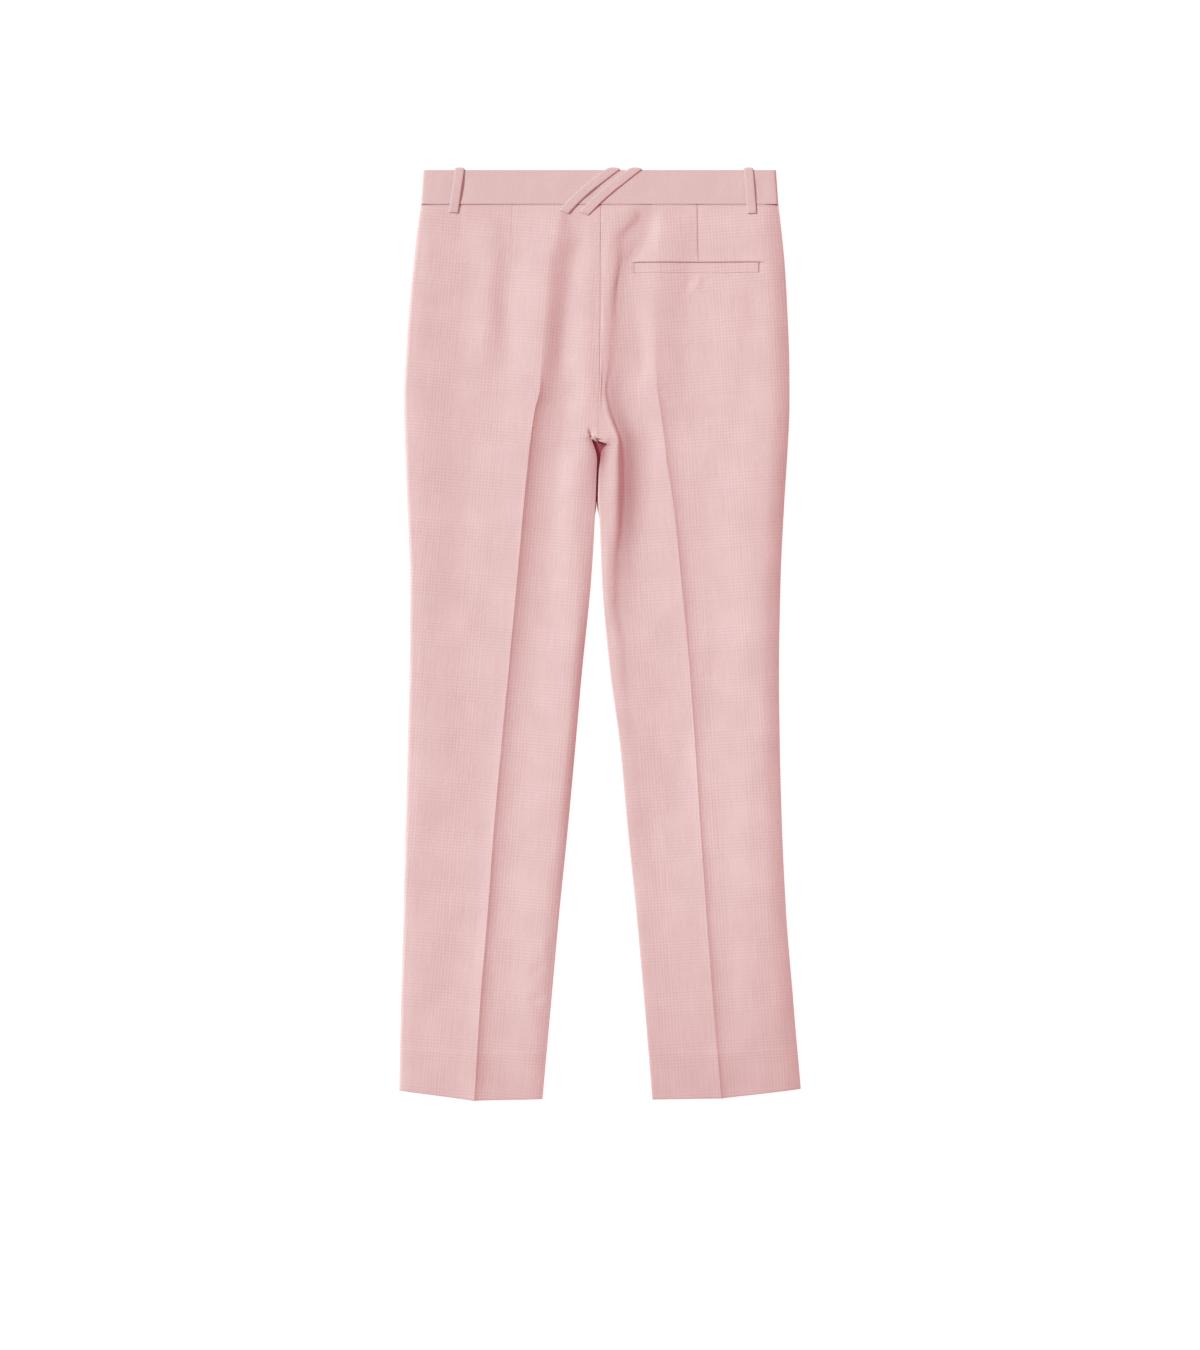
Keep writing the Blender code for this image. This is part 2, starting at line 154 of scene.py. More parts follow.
# The right leg's long fold has a top line, a step, where it falls steepest, with its slope there as the
# brink, and a line just under the step.
RIGHT_RELIEF = table(
    "down inner fold_x fold step_x step brink under_x under hollow_x hollow lift crease fall foot_x foot "
    "side_in side edge",
    (39, 5.2, 22, 5.5, 34, 5.3, -0.04, 42, 5.1, 54, 5, 0, 5.5, 0, 108.1, 5.1, 16, 5.5, 5.3),
    (50, 5.6, 24, 6.8, 40, 5.4, -0.3, 46, 4, 56, 3.6, 0, 5.5, 0, 108.4, 4.9, 16, 6.2, 6),
    (78, 6, 11, 6.8, 22, 5.5, -0.26, 33, 4.1, 50, 3.4, 0.01, 5.6, 0, 108.8, 4.3, 16, 7.2, 7.1),
    (106, 6.4, 8, 6.9, 20, 5.4, -0.44, 24.5, 4, 34, 3.4, 0.01, 5.7, 0, 109.2, 4, 16, 7.4, 7.3),
    (134, 6.8, 4, 7, 16, 5.3, -0.52, 19.5, 3.8, 27, 3.2, 0.01, 5.8, 0, 106, 3.7, 16, 7.7, 7.6),
    (162, 6.9, 3, 7.1, 14, 5.6, -0.34, 20, 4.1, 36, 3.1, 0.01, 5.8, -0.02, 104, 3.6, 17, 7.8, 7.7),
    (190, 6.8, 2.5, 6.8, 12, 5.6, -0.27, 24, 3.8, 42, 3, 0.02, 5.6, -0.04, 102, 3.5, 17, 7.9, 7.8),
    (218, 6.7, 1.5, 6.6, 10, 5.2, -0.34, 20, 3.9, 44, 3, 0.02, 5.4, -0.08, 101, 3.4, 18, 8, 7.9),
    (246, 6.2, 1, 5.8, 6, 4.9, -0.62, 11, 3.7, 38, 3, 0.03, 5.2, -0.18, 102, 3.4, 18, 8.2, 8.1),
    (268, 6.8, 1.4, 6.6, 10.2, 5.1, -0.8, 15.5, 3.6, 42, 3, 0.03, 5, -0.22, 102, 3.5, 20, 8.5, 8.4),
    (285, 7, 8, 7.2, 16, 5.8, -1.05, 20.5, 3.9, 49, 3, 0.03, 5, -0.24, 103, 3.7, 22, 8.8, 8.7),
    (303, 7.8, 15.5, 8.5, 21.5, 6.8, -1.1, 26.5, 4.2, 53, 3, 0.04, 5.1, -0.24, 104, 3.8, 23, 9.1, 9),
    (324, 9.4, 13, 10.2, 22, 7.6, -1.15, 27.5, 4.3, 53, 3, 0.04, 5.2, -0.24, 104, 3.8, 24, 9.2, 9.1),
    (347, 10.2, 11, 10.7, 22.5, 7.5, -1.1, 28.5, 4.3, 53, 3, 0.04, 5.3, -0.25, 105, 3.9, 24, 9.2, 9.1),
    (375, 10, 9, 10.4, 22.5, 7.1, -1, 28.5, 4.3, 51, 3, 0.04, 5.6, -0.26, 108, 4, 24, 9.2, 9.1),
    (403, 9.2, 8, 9.8, 21.5, 6.8, -0.8, 27, 4.6, 48, 3.1, 0.04, 5.8, -0.28, 111, 4, 24, 9.1, 9),
    (436, 8.2, 7, 8.8, 17.5, 6.6, -0.52, 25, 4.5, 43, 3.3, 0.03, 6, -0.32, 120, 3.9, 26, 9, 8.9),
    (481, 7.2, 8, 7.7, 16.5, 6.1, -0.42, 22, 4.7, 41, 3.7, 0.03, 6.1, -0.32, 122, 4.1, 26, 8.6, 8.5),
    (526, 6.5, 15, 6.7, 23, 5.8, -0.24, 29, 4.8, 44, 4.2, 0.03, 6.1, -0.28, 122, 4.3, 28, 8.2, 8.1),
    (571, 6, 18, 6.2, 27, 5.5, -0.16, 33, 4.9, 48, 4.6, 0.05, 6.1, -0.26, 118, 4.5, 28, 8, 7.9),
    (615, 5.6, 24, 5.7, 34, 5, -0.1, 44, 4.6, 76, 4.4, 0.12, 6, -0.26, 116, 4.6, 28, 7.9, 7.8),
    (651, 5.3, 27, 5.4, 40, 4.8, -0.06, 56, 4.3, 88, 3.9, 0.17, 5.8, -0.28, 120, 4.6, 30, 7.8, 7.7),
    (739, 4.9, 36, 5, 50, 4.4, -0.04, 62, 4.1, 76, 4.3, 0.06, 6.1, -0.3, 130, 4.8, 32, 7.7, 7.5),
    (839, 4.8, 46, 4.9, 56, 4.6, -0.03, 66, 4.5, 84, 5, 0.05, 6.6, -0.3, 136, 5.1, 34, 7.6, 7.3),
    (940, 4.6, 55, 4.7, 66, 4.5, -0.02, 78, 4.6, 96, 5, 0.05, 6.6, -0.3, 142, 5.1, 36, 7.2, 6.8),
    (1007, 4.4, 62, 4.4, 74, 4.3, -0.02, 88, 4.5, 104, 4.9, 0.05, 6.4, -0.3, 148, 4.9, 34, 6.6, 6.2),
    (OUTSEAM, 4.2, 65, 4.2, 78, 4.1, -0.02, 92, 4.3, 108, 4.7, 0.05, 6.1, -0.3, 150, 4.8, 34, 6.2, 5.8),
)
# Right of that step the fold has painted shade, deepest at this distance from it
RIGHT_SHADE = table(
    "down off depth",
    (39, 4, 0), (50, 4, 0), (78, 4, 0), (106, 4, 0.06), (134, 4, 0.06), (162, 4, 0.04), (190, 4, 0.04),
    (218, 5, 0.08), (246, 7, 0.26), (268, 6, 0.36), (285, 6, 0.42), (303, 7, 0.5), (324, 7, 0.52),
    (347, 7, 0.52), (375, 7, 0.48), (403, 6, 0.36), (436, 7, 0.22), (481, 6, 0.1), (526, 5, 0),
    (571, 5, 0), (615, 5, 0), (651, 5, 0), (739, 5, 0), (839, 5, 0), (940, 5, 0), (1007, 5, 0),
    (OUTSEAM, 5, 0),
)
RIGHT_INNER_IN = 1.8  # how far in the right leg's inner edge rolls
SEAM_ROLL = 1.3  # how far in the cloth rolls at the centre-back seam
SIDE_ROLLS = {"left": 3.5, "right": 22.0}  # how far in the roll of each side seam reaches
SIDE_CREST = 14.0  # how far in the left side is highest
SIDE_STEP = 0.8  # the left side rises this much from its roll to its crest
SEAM_SINK = table(  # how far each leg's cloth sinks at the centre-back seam
    "down left right",
    (39, 0.25, 0.1), (190, 0.28, 0.17), (246, 0.15, 0.15), (285, 0, 0), (300, 0, 0),
)
CREASE_EDGE = table("down rise", (39, 0), (225, 0), (246, 0.3), (OUTSEAM, 0.3))  # the pressed edge itself
CREASE_WIDTHS = (4, 1.6)  # to its left and to its right
RIPPLES_START = (40, 70)  # between these levels the ripples begin

# Short soft folds: from one end to the other, how far they bow to the right, their rise or depth, and
# how wide they are to the left and to the right
FOLDS = table(
    "x down to_x to_down bow rise left right",
    (-122, 52, -131, 232, 3, 1.8, 15, 14),  # left seat
    (-150, 44, -158, 236, 4, -0.7, 12, 16),
    (-104, 62, -106, 205, -2, -1.2, 12, 13),
    (-157, 40, -159, 104, 0, -0.35, 5, 6),
    (-91, 50, -88, 116, 0, -0.45, 6, 7),
    (-176, 60, -186, 330, 3, -0.4, 14, 20),
    (-12.2, 286, -8.4, 308, 0, -3.6, 1.3, 6),  # where the left thigh tucks in under the seat
    (46, 82, 24, 104, 4, -0.8, 7, 6),  # second start of the long fold
    (150, 118, 142, 300, -3, 0.7, 16, 14),  # right seat
    (171, 108, 168, 210, 2, -0.7, 9, 11),
    (92, 186, 94, 262, 2, -0.5, 9, 12),
    (101, 120, 89, 138, 2, -0.6, 4, 5),  # puckers under the welt
    (110, 118, 104, 134, 2, 0.5, 4, 4),
    (121, 119, 116, 131, -2, -0.35, 4, 4),
    (151, 40, 156, 92, -2, 0.5, 9, 12),
    (60, 620, 88, 690, -6, -0.7, 14, 10),  # the back of the right knee
    (50, 690, 60, 790, 3, -0.5, 10, 12),
    (-78, 898, -62, 890, 0, -0.7, 5, 6),  # dimples by the left inside seam
    (-80, 930, -62, 922, 0, -0.9, 5, 7),
    (-64, 858, -60, 884, 0, 0.4, 5, 4),
)

# Levels of the rows, as (end of a stretch, spacing)
ROWS = (
    (100, 3.0), (103, 1.0), (104.6, 0.3), (114.6, 1.4), (116.6, 0.4), (120, 1.2), (280, 3.2), (330, 1.25),
    (978, 3.2), (998, 1.0), (1035, 3.0), (OUTSEAM, 0.75),
)
HEM = table(  # the lower edge of both legs
    "x down",
    (-224.6, 1030), (-141, 1041), (-65, 1039.5), (57.7, 1040), (136, 1038.5), (224.6, 1028),
)
HEM_BLEND = (940, OUTSEAM)  # between these levels the rows bend to follow it
HEM_TURN = 54.0  # depth of the turned-up hem
HEM_STEP = 0.35  # the second layer lifts the cloth this much
HEM_LIFTS = (-1.5, 1.5)  # from the turn's edge, the stretch over which it does
HEM_SETTLES = (1.5, 14)  # and the one over which the cloth settles again
HEM_SETTLED = 0.6  # by this part of its step
HEM_ROUND = 1.6  # how far up the lower edge is rounded
HEM_DROP = 0.7  # how far it goes down
WAIST_ROUND = 0.9  # how far from the waist seam the cloth is rounded, on both sides of it
WAIST_DROP = 0.1  # how far the legs' cloth goes down there
# How deep each dart's line is sewn in, and where it ends
DARTS = {"left": (0.22, 96.0), "right": (0.35, 103.0)}
DART_FADE = 12.0  # it grows shallow over this length
DART_WIDTHS = (0.7, 5.0)  # it drops steeply at its left, and comes up slowly at its right
# Painted shade along seams, mouth and dart: its depth, and its widths before and after the line
CENTRE_SHADE = (0.26, 0.5, 0.5)
WAIST_SHADE = (0.3, 0.5, 0.45)
MOUTH_SHADE = (0.9, 0.4, 0.5)
DART_SHADE = (0.5, 0.4, 0.4)
LEFT_SHADE_WIDTHS = (7, 7)
RIGHT_SHADE_WIDTHS = (4.5, 14)
WELT_X = (37.0, 177.0)
WELT_DOWN = (103.6, 115.4)
MOUTH_RISE = 0.55  # the panel stands proud of the pocket's mouth
WELT_BED = 0.5  # and lies this much lower under the welt


def line(rows, column, down):
    """A smooth line through one column of a table, by its first column, which is mostly the level.

    Between two rows it is a cubic. Its slope at a row is the harmonic mean of the slopes beside it, or
    level where they go opposite ways, so that the line never swings past a row's value.
    """
    at, values = next(iter(rows.values())), rows[column]
    rise = np.diff(values) / np.diff(at)
    slope = np.concatenate((rise[:1], harmonic(rise[:-1], rise[1:]), rise[-1:]))
    i = np.clip(np.searchsorted(at, down) - 1, 0, len(at) - 2)
    span = at[i + 1] - at[i]
    s = np.clip((down - at[i]) / span, 0, 1)
    return cubic(s, span, values[i], values[i + 1], slope[i], slope[i + 1])


def harmonic(before, after):
    """The harmonic mean of two slopes, or 0 where they go opposite ways."""
    product, total = before * after, before + after
    return np.where(product > 0, 2 * product / np.where(product > 0, total, 1), 0)


def cubic(s, span, start, end, start_slope, end_slope):
    """A cubic over a span, s of the way along it, from its values and slopes at both ends."""
    level = start + (3 * s**2 - 2 * s**3) * (end - start)
    return level + span * (start_slope * (s**3 - 2 * s**2 + s) + end_slope * (s**3 - s**2))


def ease(ends, down):
    """From 0 at the first level to 1 at the last, level at both."""
    s = np.clip((down - ends[0]) / (ends[1] - ends[0]), 0, 1)
    return 3 * s**2 - 2 * s**3


def ridge(off, left, right, sharpness):
    """A ridge of height 1 across a fold: off is the distance from its top line, positive to the right."""
    width = np.where(off < 0, left, right)
    return np.exp(-((np.abs(off) / width) ** sharpness))


def shaded(off, depth, before, after):
    """How deep the painted shade of a soft dark line is, at a distance from it."""
    return depth * ridge(off, before, after, 2)


def rounded(inset, reach):
    """A quarter circle at an edge: 0 at the edge itself, and 1 from its reach inwards."""
    return np.sqrt(1 - (1 - np.clip(inset / reach, 0, 1)) ** 2)


def across(x, lines, heights, sharp):
    """Height across a leg, by a cubic between each two lines that run down it.

    The slope at a line is the harmonic mean of the slopes beside it, but a sharp line has its own slopes.
    """
    rise = [(heights[k + 1] - heights[k]) / (lines[k + 1] - lines[k]) for k in range(len(lines) - 1)]
    slopes = [0 * rise[0]] + [harmonic(rise[k - 1], rise[k]) for k in range(1, len(rise))] + [0 * rise[0]]
    z = heights[0] + 0 * x
    for k in range(len(rise)):
        span = lines[k + 1] - lines[k]
        start = sharp[k][1] if k in sharp else slopes[k]
        end = sharp[k + 1][0] if k + 1 in sharp else slopes[k + 1]
        s = np.clip((x - lines[k]) / span, 0, 1)
        z = np.where(x > lines[k], cubic(s, span, heights[k], heights[k + 1], start, end), z)
    return z


def short_folds(x, down, folds):
    """The sum of the short folds, each a ridge across its own bowed line that dies away at both ends."""
    height = 0 * x * down
    for x0, down0, x1, down1, bow, rise, left, right in zip(*folds.values()):
        along, over = down1 - down0, x1 - x0
        length = np.hypot(along, over)
        s = ((x - x0) * over + (down - down0) * along) / length**2
        window = np.clip(4 * s * (1 - s), 0, 1)
        off = ((x - x0) * along - (down - down0) * over) / length * np.sign(along) - bow * window
        height += rise * window**0.75 * ridge(off, left, right, 2)
    return height


def ripples(x, down):
    """Slow, shallow unevenness that all laid cloth has: a few crossed waves of unlike lengths."""
    return (
        0.16 * np.sin(x / 13.0 + 1.3 * np.sin(down / 61.0)) * np.sin(down / 47.0 + x / 90.0)
        + 0.10 * np.sin(down / 23.0 + 2.0 * np.sin(x / 37.0))
        + 0.07 * np.sin(x / 7.3 + down / 31.0)
    )


def leg_lines(side, level):
    """The lines that run down a back leg, from left to right, with their heights and their sharp slopes."""
    outer, crease = line(OUTLINE, f"{side}_side", level), line(OUTLINE, f"{side}_crease", level)
    inner = line(INSIDE, side, level)
    rows = LEFT_RELIEF if side == "left" else RIGHT_RELIEF
    at = {column: line(rows, column, level) for column in rows if column != "down"}
    seam = at["inner"] + (1 - ease(CENTRE_ENDS, level)) * (line(CENTRE, "height", level) - at["inner"])
    slopes = (at["lift"], at["fall"])
    if side == "left":
        lines = [outer, outer + SIDE_CREST, outer + at["dip_in"], at["dart_x"], crease,
                 crease + at["foot_in"], inner - at["inner_in"], inner]
        heights = [at["side"] - SIDE_STEP, at["side"], at["dip"], at["dart"], at["crease"], at["foot"],
                   at["inner"], seam]
        return lines, heights, {4: slopes}
    lines = [inner, inner + RIGHT_INNER_IN, at["fold_x"], at["step_x"], at["under_x"], at["hollow_x"],
             crease, at["foot_x"], outer - at["side_in"], outer]
    heights = [seam, (seam + at["inner"]) / 2, at["fold"], at["step"], at["under"], at["hollow"],
               at["crease"], at["foot"], at["side"], at["edge"]]
    return lines, heights, {3: (at["brink"], at["brink"]), 6: slopes}


def roll(height, inset, width, rim):
    """Height near a turned edge: from the rim it climbs in a parabola to the cloth's own height."""
    t = np.clip(inset / width, 0, 1)
    return rim + (height - rim) * (1 - (1 - t) ** 2)


def pocket_bed(x, down):
    """The panel rises a little towards the pocket's mouth, then drops to a shallow bed for the welt."""
    mouth, foot = WELT_DOWN
    first, last = WELT_X
    within = ease((first - 1.5, first + 0.5), x) * (1 - ease((last - 0.5, last + 1.5), x))
    dropped = ease((mouth - 0.5, mouth + 0.1), down)
    above = MOUTH_RISE * ease((mouth - 9, mouth - 1), down) * (1 - dropped)
    return within * (above - WELT_BED * dropped * (1 - ease((foot - 0.3, foot + 1.2), down)))


def back_height(side, x, level):
    """Height of a back leg's outer face, with its folds, dart and hem, and its two edges turned in."""
    lines, heights, sharp = leg_lines(side, level)
    outer, inner = (lines[0], lines[-1]) if side == "left" else (lines[-1], lines[0])
    inward = 1 if side == "left" else -1
    height = across(x, lines, heights, sharp) + short_folds(x, level, FOLDS)
    height += ripples(x, level) * ease(RIPPLES_START, level)
    depth, end = DARTS[side]
    dart = lines[3] if side == "left" else lines[7]
    height -= depth * ridge(x - dart, *DART_WIDTHS, 1.5) * (1 - ease((end - DART_FADE, end), level))
    crease = line(OUTLINE, f"{side}_crease", level)
    height += line(CREASE_EDGE, "rise", level) * ridge(x - crease, *CREASE_WIDTHS, 1.3)
    if side == "right":
        height += pocket_bed(x, level)
    step = level - (OUTSEAM - HEM_TURN)
    height += HEM_STEP * (ease(HEM_LIFTS, step) - HEM_SETTLED * ease(HEM_SETTLES, step))
    height -= HEM_DROP * (1 - rounded(OUTSEAM - level, HEM_ROUND))
    height -= WAIST_DROP * (1 - rounded(level - BAND_DEPTH, WAIST_ROUND))
    height = np.maximum(height, 2 * CLOTH + 0.5)
    height = roll(height, inward * (x - outer), SIDE_ROLLS[side], SEAM_HEIGHT + SEAM_GAP / 2 + LIP)
    turned = ease(SEAT_TURNS, level)
    seam = heights[-1 if side == "left" else 0] - line(SEAM_SINK, side, level)
    rim = seam + turned * (line(INSIDE, f"{side}_top", level) - seam)
    inside_in = line(LEFT_RELIEF, "inner_in", level) if side == "left" else RIGHT_INNER_IN
    return roll(height, inward * (inner - x), SEAM_ROLL + turned * (inside_in - SEAM_ROLL), rim)


def painted_shade_at(side, x, level):
    """How much painted shade the cloth has, from 0 in the open to 1 between two folds.

    It is deepest beside the crotch, and shows in the long folds, in the seams and at the pocket's mouth.
    """
    inward = 1 if side == "left" else -1
    inner = line(INSIDE, side, level)
    t = np.clip(inward * (inner - x) / PAINTED_SHADE_REACH[side], 0, 1)
    by_edge = line(INSIDE, f"{side}_tuck", level) * (1 - t) ** 1.6
    above = 1 - ease(SEAT_TURNS, level)
    seams = above * shaded(x - inner, *CENTRE_SHADE) + shaded(level - BAND_DEPTH, *WAIST_SHADE)
    if side == "left":
        off = x - line(OUTLINE, "left_crease", level) - line(LEFT_RELIEF, "foot_in", level) / 2
        fold = shaded(off, line(LEFT_RELIEF, "shade", level), *LEFT_SHADE_WIDTHS)
        return np.maximum.reduce(np.broadcast_arrays(by_edge, seams, fold))
    off = x - line(RIGHT_RELIEF, "step_x", level) - line(RIGHT_SHADE, "off", level)
    fold = shaded(off, line(RIGHT_SHADE, "depth", level), *RIGHT_SHADE_WIDTHS)
    mouth = shaded(level - WELT_DOWN[0], *MOUTH_SHADE) * ((x > WELT_X[0]) & (x < WELT_X[1]))
    dart = shaded(x - line(RIGHT_RELIEF, "foot_x", level), *DART_SHADE) * (level < DARTS["right"][1])
    return np.maximum.reduce(np.broadcast_arrays(by_edge, seams, fold, mouth, dart))


def levels(first, stretches):
    """Levels down the garment, evenly spaced over each stretch, as one column."""
    down = [first]
    for end, spacing in stretches:
        steps = max(1, round((end - down[-1]) / spacing))
        down.extend(np.linspace(down[-1], end, steps + 1)[1:])
    return np.array(down)[:, None]


def columns(lines, counts):
    """Columns of a grid along the lines, with a count of steps between each two, and its finer end."""
    x = []
    for start, end, (steps, finer) in zip(lines[:-1], lines[1:], counts):
        s = np.arange(steps) / steps
        if finer == "start":
            s = s**1.7
        elif finer == "end":
            s = 1 - (1 - s) ** 1.7
        elif finer == "both":
            s = 3 * s**2 - 2 * s**3
        x.append(start + s * (end - start))
    return np.hstack(x + [lines[-1]])


def to_the_hem(x, down):
    """The levels of a panel's rows, bent to follow the hem as they come near it."""
    return down + (np.interp(x, HEM["x"], HEM["down"]) - HEM["down"].max()) * ease(HEM_BLEND, down)


def placed(name, data):
    """A new object in the scene."""
    piece = bpy.data.objects.new(name, data)
    bpy.context.scene.collection.objects.link(piece)
    return piece


def cloth_mesh(name, x, down, z, weave, facing_up=True, tuck=0.0):
    """A cloth surface from the grid of its outer face.

    weave holds the same grid in the cloth's own flat sizes; the last argument is each point's painted
    shade.
    """
    grid = np.stack(np.broadcast_arrays(x, TOP - down, z), axis=-1)
    rows, across_count = grid.shape[:2]
    corner = np.arange(rows * across_count).reshape(rows, across_count)
    ring = (corner[:-1, :-1], corner[1:, :-1], corner[1:, 1:], corner[:-1, 1:])
    faces = np.stack(ring if facing_up else ring[::-1], axis=-1).reshape(-1, 4)
    mesh = bpy.data.meshes.new(name)
    mesh.vertices.add(grid[..., 0].size)
    mesh.vertices.foreach_set("co", (grid * MM).ravel())
    mesh.loops.add(faces.size)
    mesh.loops.foreach_set("vertex_index", faces.ravel())
    mesh.polygons.add(len(faces))
    mesh.polygons.foreach_set("loop_start", np.arange(0, faces.size, 4))
    mesh.update(calc_edges=True)
    flat = np.stack(np.broadcast_arrays(*weave, z)[:2], axis=-1).reshape(-1, 2) * MM
    mesh.uv_layers.new(name="weave").data.foreach_set("uv", flat[faces.ravel()].ravel())
    depth = np.broadcast_to(tuck, grid.shape[:2]).astype(np.float32)
    mesh.attributes.new("tuck", "FLOAT", "POINT").data.foreach_set("value", depth.ravel())
    mesh.shade_smooth()
    return placed(name, mesh)


def wall(piece, thickness, material, even=True):
    """Gives a cloth surface its material and its wall, grown inwards from its outer face.

    The wall is even, except on pieces that turn so tightly that an even wall would cross itself.
    """
    piece.data.materials.append(material)
    solid = piece.modifiers.new("wall", "SOLIDIFY")
    solid.thickness = thickness * MM
    solid.offset = -1
    solid.use_even_offset = even


def linear(code):
    """An sRGB hex colour as linear light, with an alpha of 1."""
    srgb = np.array([int(code[i : i + 2], 16) for i in (1, 3, 5)]) / 255
    return (*np.where(srgb < 0.04045, srgb / 12.92, ((srgb + 0.055) / 1.055) ** 2.4), 1.0)


def add(tree, kind, feeds, **settings):
    """Adds a node with its settings, and feeds its inputs from other nodes' outputs or with values."""
    node = tree.nodes.new(f"ShaderNode{kind}")
    for name, value in settings.items():
        setattr(node, name, value)
    for socket, value in feeds.items():
        if isinstance(value, bpy.types.NodeSocket):
            tree.links.new(value, node.inputs[socket])
        else:
            node.inputs[socket].default_value = value
    return node


def blend(tree, factor, first, second):
    """Mixes two colours. They are a Mix node's inputs 6 and 7, and the result is its output 2."""
    return add(tree, "Mix", {"Factor": factor, 6: first, 7: second}, data_type="RGBA").outputs[2]


PAINTED_SHADE_COLOUR = linear("#a8505b")  # painted shade: the deep pink of light gone from cloth to cloth
THREAD = 0.45  # from one thread to the next
CHECK = 128  # threads in one repeat of the check, half of it in fours and half in twos


def glen_suiting(name, light, deep, contrast):
    """Light viscose suiting, woven two over two in a tonal glen check.

    Bands of four light and four deep threads cross bands of two and two, both ways, so that fine lines and
    tiny teeth come and go in soft squares. The yarn is matt, with a faint bloom at a glancing angle.
    """
    material = bpy.data.materials.new(name)
    material.use_nodes = True
    tree = material.node_tree

    def math(operation, *values):
        return add(tree, "Math", dict(enumerate(values)), operation=operation).outputs[0]

    uv = add(tree, "UVMap", {}, uv_map="weave").outputs["UV"]
    sway = add(tree, "TexNoise", {"Vector": uv, "Scale": 90.0, "Detail": 2.0}, noise_dimensions="2D")
    lean = add(tree, "VectorMath", {0: sway.outputs["Color"], 1: (0.0006, 0.0006, 0)}, operation="MULTIPLY")
    bent = add(tree, "VectorMath", {0: uv, 1: lean.outputs[0]}, operation="ADD")
    count = add(tree, "VectorMath", {0: bent.outputs[0], "Scale": 1 / (THREAD * MM)}, operation="SCALE")
    split = add(tree, "SeparateXYZ", {0: count.outputs[0]})
    tones, numbers, crowns = [], [], []
    for axis in ("X", "Y"):
        number = math("FLOOR", split.outputs[axis])
        fours = math("LESS_THAN", math("FLOORED_MODULO", number, 8.0), 4.0)
        twos = math("LESS_THAN", math("FLOORED_MODULO", number, 4.0), 2.0)
        band = math("LESS_THAN", math("FLOORED_MODULO", number, float(CHECK)), CHECK / 2)
        tones.append(add(tree, "Mix", {"Factor": band, "A": twos, "B": fours}).outputs[0])
        crowns.append(math("PINGPONG", split.outputs[axis], 0.5))
        numbers.append(number)
    turn = math("FLOORED_MODULO", math("ADD", *numbers), 4.0)
    warp_up = math("LESS_THAN", turn, 2.0)
    tone = add(tree, "Mix", {"Factor": warp_up, "A": tones[1], "B": tones[0]}).outputs[0]
    yarn = add(tree, "Mix", {"Factor": warp_up, "A": crowns[1], "B": crowns[0]}).outputs[0]

    streaks = add(tree, "Mapping", {"Vector": uv, "Scale": (900.0, 22.0, 1.0)})
    slub = add(tree, "TexNoise", {"Vector": streaks.outputs[0], "Scale": 1.0, "Detail": 3.0},
               noise_dimensions="2D")
    cloud = add(tree, "TexNoise", {"Vector": uv, "Scale": 24.0, "Detail": 3.0}, noise_dimensions="2D")
    shade = math("ADD", slub.outputs[0], cloud.outputs[0])
    shade = add(tree, "MapRange", {0: shade, 1: 0.7, 2: 1.3, 3: -0.35, 4: 0.35}).outputs[0]
    tone = math("ADD", tone, shade)
    low, high = 0.5 - contrast / 2, 0.5 + contrast / 2
    tone = add(tree, "MapRange", {0: tone, 1: -0.35, 2: 1.35, 3: low, 4: high}).outputs[0]
    colour = blend(tree, tone, linear(deep), linear(light))
    # Painted shade: where the cloth lies in a fold, a seam or the crotch, its colour turns deep rose
    tuck = add(tree, "Attribute", {}, attribute_name="tuck").outputs["Fac"]
    colour = blend(tree, tuck, colour, PAINTED_SHADE_COLOUR)

    crinkle = add(tree, "TexNoise", {"Vector": uv, "Scale": 210.0, "Detail": 3.0, "Roughness": 0.6},
                  noise_dimensions="2D")
    soft = add(tree, "Bump", {"Height": crinkle.outputs[0], "Strength": 0.35, "Distance": 0.8 * MM})
    fine = add(tree, "Bump", {"Height": yarn, "Strength": 0.5, "Distance": 0.12 * MM,
                              "Normal": soft.outputs[0]})
    shader = tree.nodes["Principled BSDF"]
    tree.links.new(colour, shader.inputs["Base Color"])
    tree.links.new(fine.outputs[0], shader.inputs["Normal"])
    shader.inputs["Roughness"].default_value = 0.86
    shader.inputs["Specular IOR Level"].default_value = 0.22
    shader.inputs["Sheen Weight"].default_value = 0.12
    shader.inputs["Sheen Roughness"].default_value = 0.45
    shader.inputs["Sheen Tint"].default_value = linear("#f6dedb")
    return material


SUITING = glen_suiting("viscose suiting, tonal glen check", "#efc9c8", "#ddb4b3", 1.0)
GRAIN = {"left": -0.082, "right": 0.066}  # each leg's cloth leans across with its crease, for each 1 down


def grain(side, x, down):
    """Flat sizes in the weave: across the grain of a leg and along it, turned to its lean."""
    lean = GRAIN[side]
    size = np.hypot(1, lean)
    return (x - lean * down) / size, (down + lean * x) / size


# For each stretch between two lines, its steps, and the end at which they are closer
LEG_COLUMNS = {
    "left": (
        (9, "start"), (15, ""), (14, "end"), (22, "both"), (17, "start"), (15, ""), (18, "end"),
    ),
    "right": (
        (5, "start"), (7, ""), (9, ""), (6, ""), (15, "start"), (17, "end"), (20, "both"), (20, "start"),
        (14, "end"),
    ),
}
LIP_STEPS = 3

